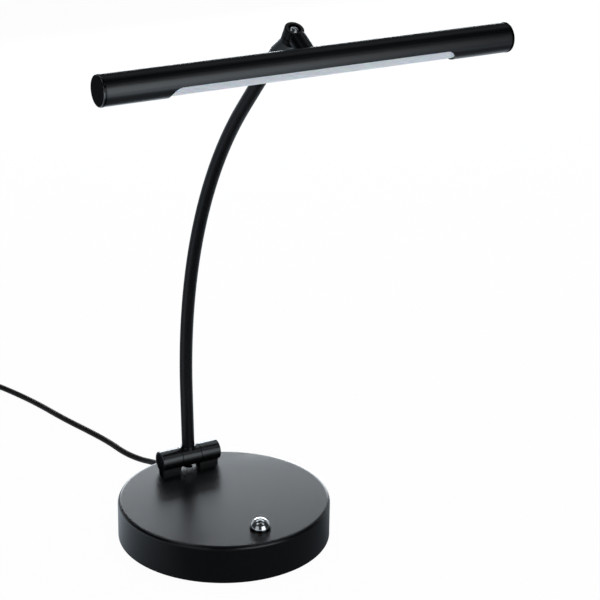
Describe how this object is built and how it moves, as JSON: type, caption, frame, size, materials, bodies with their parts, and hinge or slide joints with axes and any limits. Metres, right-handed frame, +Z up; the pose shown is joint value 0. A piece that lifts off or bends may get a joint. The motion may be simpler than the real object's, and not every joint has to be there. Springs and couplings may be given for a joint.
{
  "type": "piano lamp",
  "caption": "Piano lamp with a round weighted base, a friction-hinged curved arm, a swivelling horizontal tube head with a frosted diffuser, a domed push button and a mains cord.",
  "frame": {"origin": "centre of the round base's underside, on the surface it stands on", "axes": "+Z up, +X to the player's right along the tube head, +Y to the back, away from the player; the hinge stands at +Y and the head hangs at -Y"},
  "size_m": [0.3342, 0.5497, 0.4342],
  "materials": {
    "satin_black_steel": "satin black powder coat on steel, semi-gloss",
    "satin_black_aluminium": "satin black powder coat on aluminium",
    "cast_iron": "rough grey casting",
    "zinc_steel": "zinc plated",
    "nickel": "bright nickel plate",
    "chrome": "mirror chrome plate",
    "black_cap": "satin black moulding",
    "acetal": "black acetal, low friction",
    "foam_rubber": "matte black sheet",
    "extruded_aluminium": "mill finish extrusion",
    "frosted_acrylic": "frosted translucent acrylic",
    "circuit_board": "green solder mask",
    "white_board": "white solder mask",
    "led": "yellow phosphor lens",
    "switch_black": "moulded black housing",
    "switch_white": "moulded white plunger",
    "wire_insulation": "thin black insulation",
    "cord_black": "matte black cord jacket",
    "plug_metal": "nickel plated brass"
  },
  "bodies": {
    "base": {"base_shell": "satin_black_steel", "left_hinge_ear": "satin_black_steel", "right_hinge_ear": "satin_black_steel", "base_weight": "cast_iron", "bottom_plate": "zinc_steel", "base_screws": "zinc_steel", "ear_screws": "zinc_steel", "board_screws": "zinc_steel", "hinge_bolt": "zinc_steel", "hinge_nut": "zinc_steel", "hinge_caps": "black_cap", "hinge_washers": "acetal", "rubber_pad": "foam_rubber", "dimmer_board": "circuit_board", "switch_body": "switch_black", "led_driver": "switch_black", "strain_relief": "cord_black", "power_cord": "cord_black", "cord_coil": "cord_black", "plug_lead": "cord_black", "plug_body": "cord_black", "plug_pins": "plug_metal"},
    "arm": {"hinge_knuckle": "satin_black_steel", "arm_tube": "satin_black_steel", "arm_leads": "wire_insulation", "swivel_elbow": "satin_black_steel", "swivel_screw": "nickel", "swivel_washer": "acetal"},
    "head": {"head_neck": "satin_black_steel", "head_tube": "satin_black_aluminium", "led_carrier": "extruded_aluminium", "led_board": "white_board", "led_chips": "led", "diffuser": "frosted_acrylic", "left_end_cap": "satin_black_aluminium", "right_end_cap": "satin_black_aluminium"},
    "button": {"dimmer_button": "chrome", "switch_plunger": "switch_white"}
  },
  "joints": [
    {"name": "arm_tilt", "type": "hinge", "parent": "base", "child": "arm", "pos_m": [0, 0.0618, 0.041], "axis": [1, 0, 0], "range_deg": [-20, 35]},
    {"name": "head_swivel", "type": "hinge", "parent": "arm", "child": "head", "pos_m": [0, -0.10094, 0.43111], "axis": [0, -0.4848, 0.8746], "range_deg": [-90, 90]},
    {"name": "button_press", "type": "slide", "parent": "base", "child": "button", "axis": [0, 0, -1], "range_m": [0, 0.001], "stiffness_N_per_m": 1200, "springref_m": -0.0005}
  ]
}
